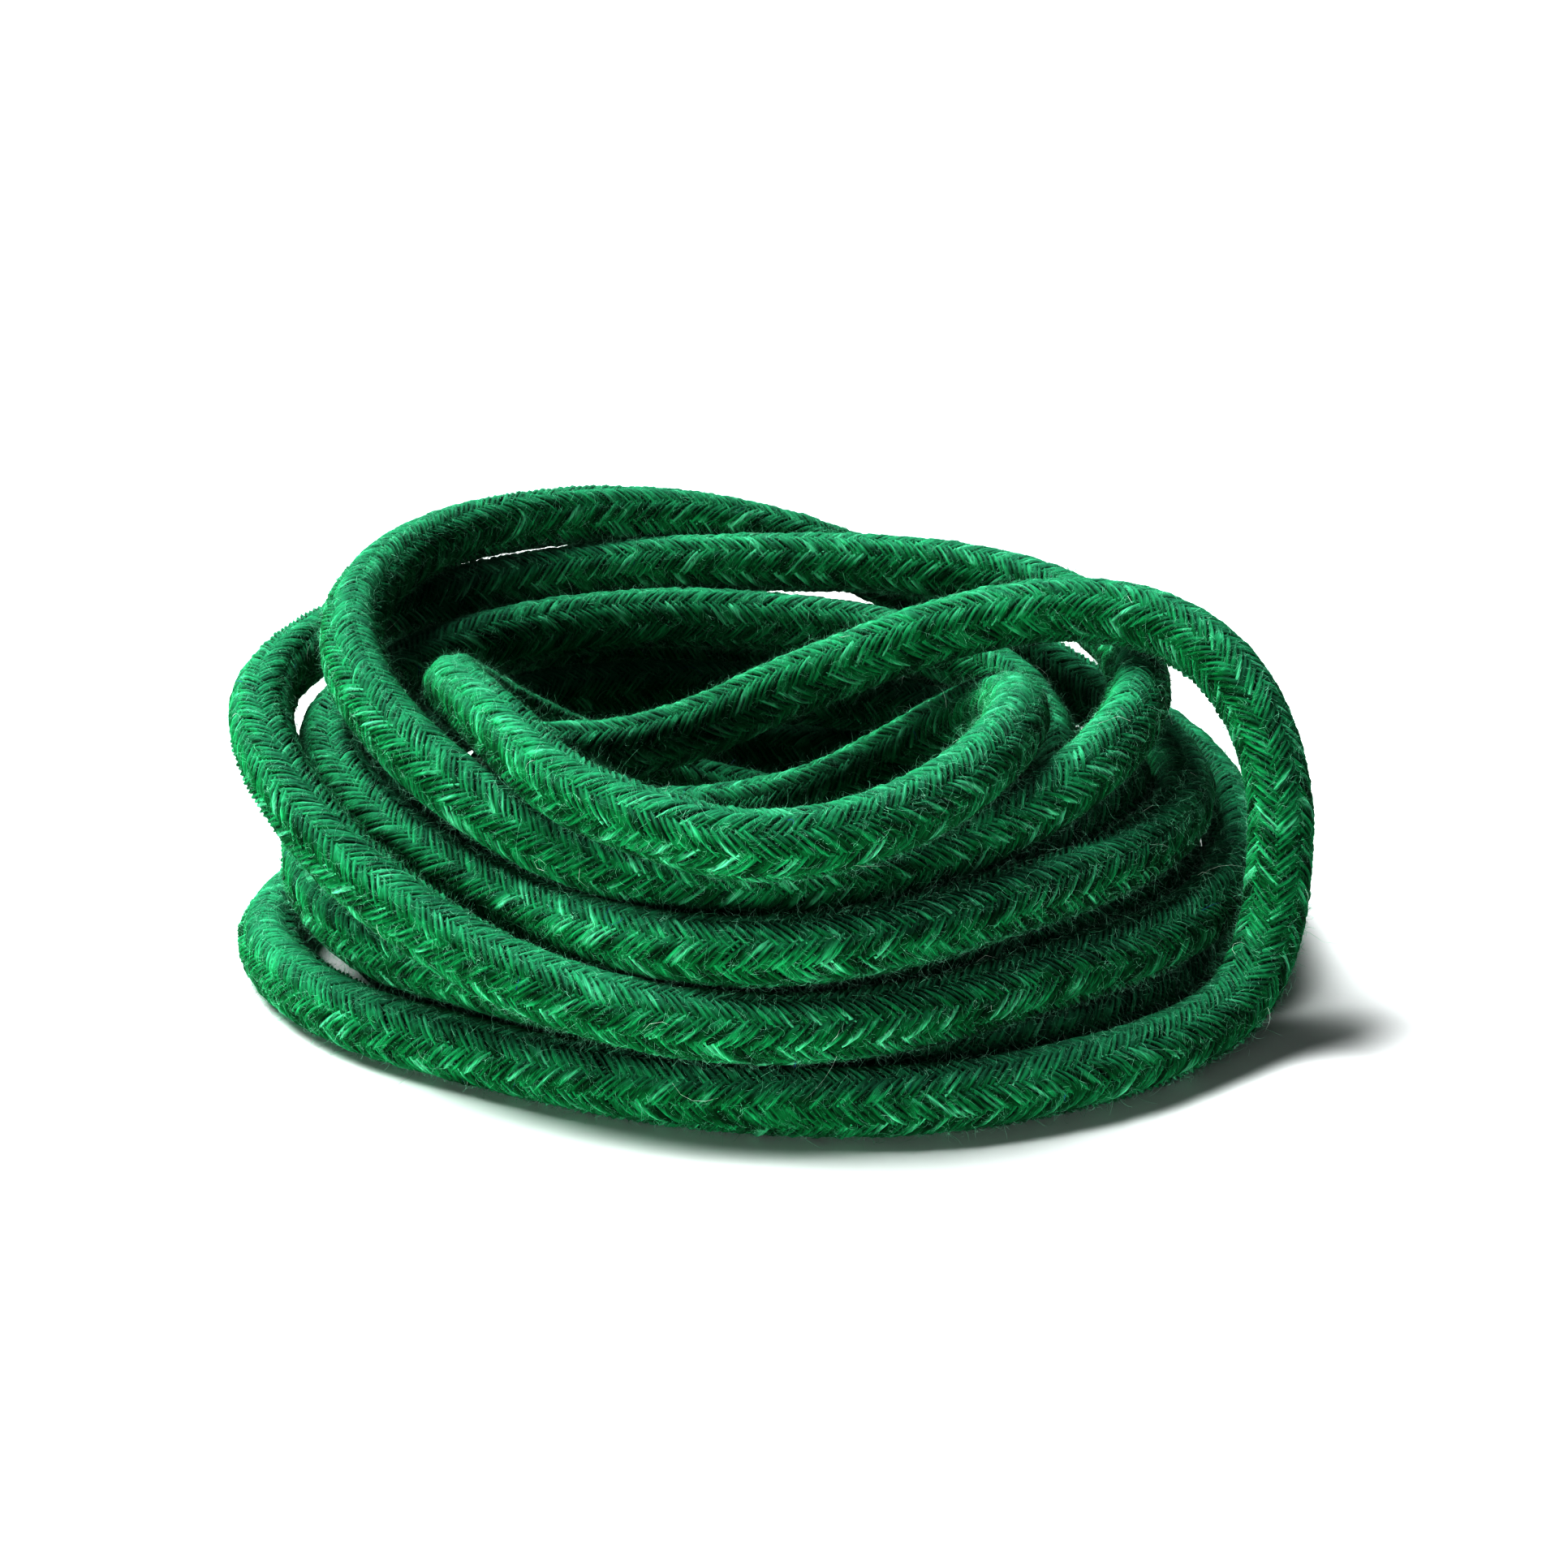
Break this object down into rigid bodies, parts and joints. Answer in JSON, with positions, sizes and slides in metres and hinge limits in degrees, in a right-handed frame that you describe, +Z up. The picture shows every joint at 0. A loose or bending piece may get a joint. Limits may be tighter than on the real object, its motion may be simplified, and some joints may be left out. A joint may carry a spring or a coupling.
{
  "type": "coiled braided lifting sling cord",
  "caption": "Limp round braided cotton cord for light hoisting and lashing, piled in a loose round coil with an open middle.",
  "frame": {"origin": "on the floor, under the middle of the coil's bounding box", "axes": "+Z up through the open middle of the coil, +X to the right across its widest extent, +Y to its back, away from the strand that lies lowest in front"},
  "size_m": [0.1296, 0.1076, 0.0482],
  "materials": {
    "braided_cotton": "matte, napped",
    "core_yarn": "matte"
  },
  "bodies": {
    "root": {"sleeve_inner_end": "braided_cotton", "core_inner_end": "core_yarn", "sleeve_top_loop": "braided_cotton", "core_top_loop": "core_yarn", "sleeve_hole_crossing": "braided_cotton", "core_hole_crossing": "core_yarn", "sleeve_turn_1": "braided_cotton", "core_turn_1": "core_yarn", "sleeve_turn_2": "braided_cotton", "core_turn_2": "core_yarn", "sleeve_turn_3": "braided_cotton", "core_turn_3": "core_yarn", "sleeve_turn_4": "braided_cotton", "core_turn_4": "core_yarn", "sleeve_turn_5": "braided_cotton", "core_turn_5": "core_yarn", "sleeve_turn_6": "braided_cotton", "core_turn_6": "core_yarn", "sleeve_turn_7": "braided_cotton", "core_turn_7": "core_yarn", "sleeve_floor_turn": "braided_cotton", "core_floor_turn": "core_yarn", "sleeve_rising_strand": "braided_cotton", "core_rising_strand": "core_yarn", "sleeve_over_strand": "braided_cotton", "core_over_strand": "core_yarn", "sleeve_outer_end": "braided_cotton", "core_outer_end": "core_yarn"}
  },
  "joints": []
}
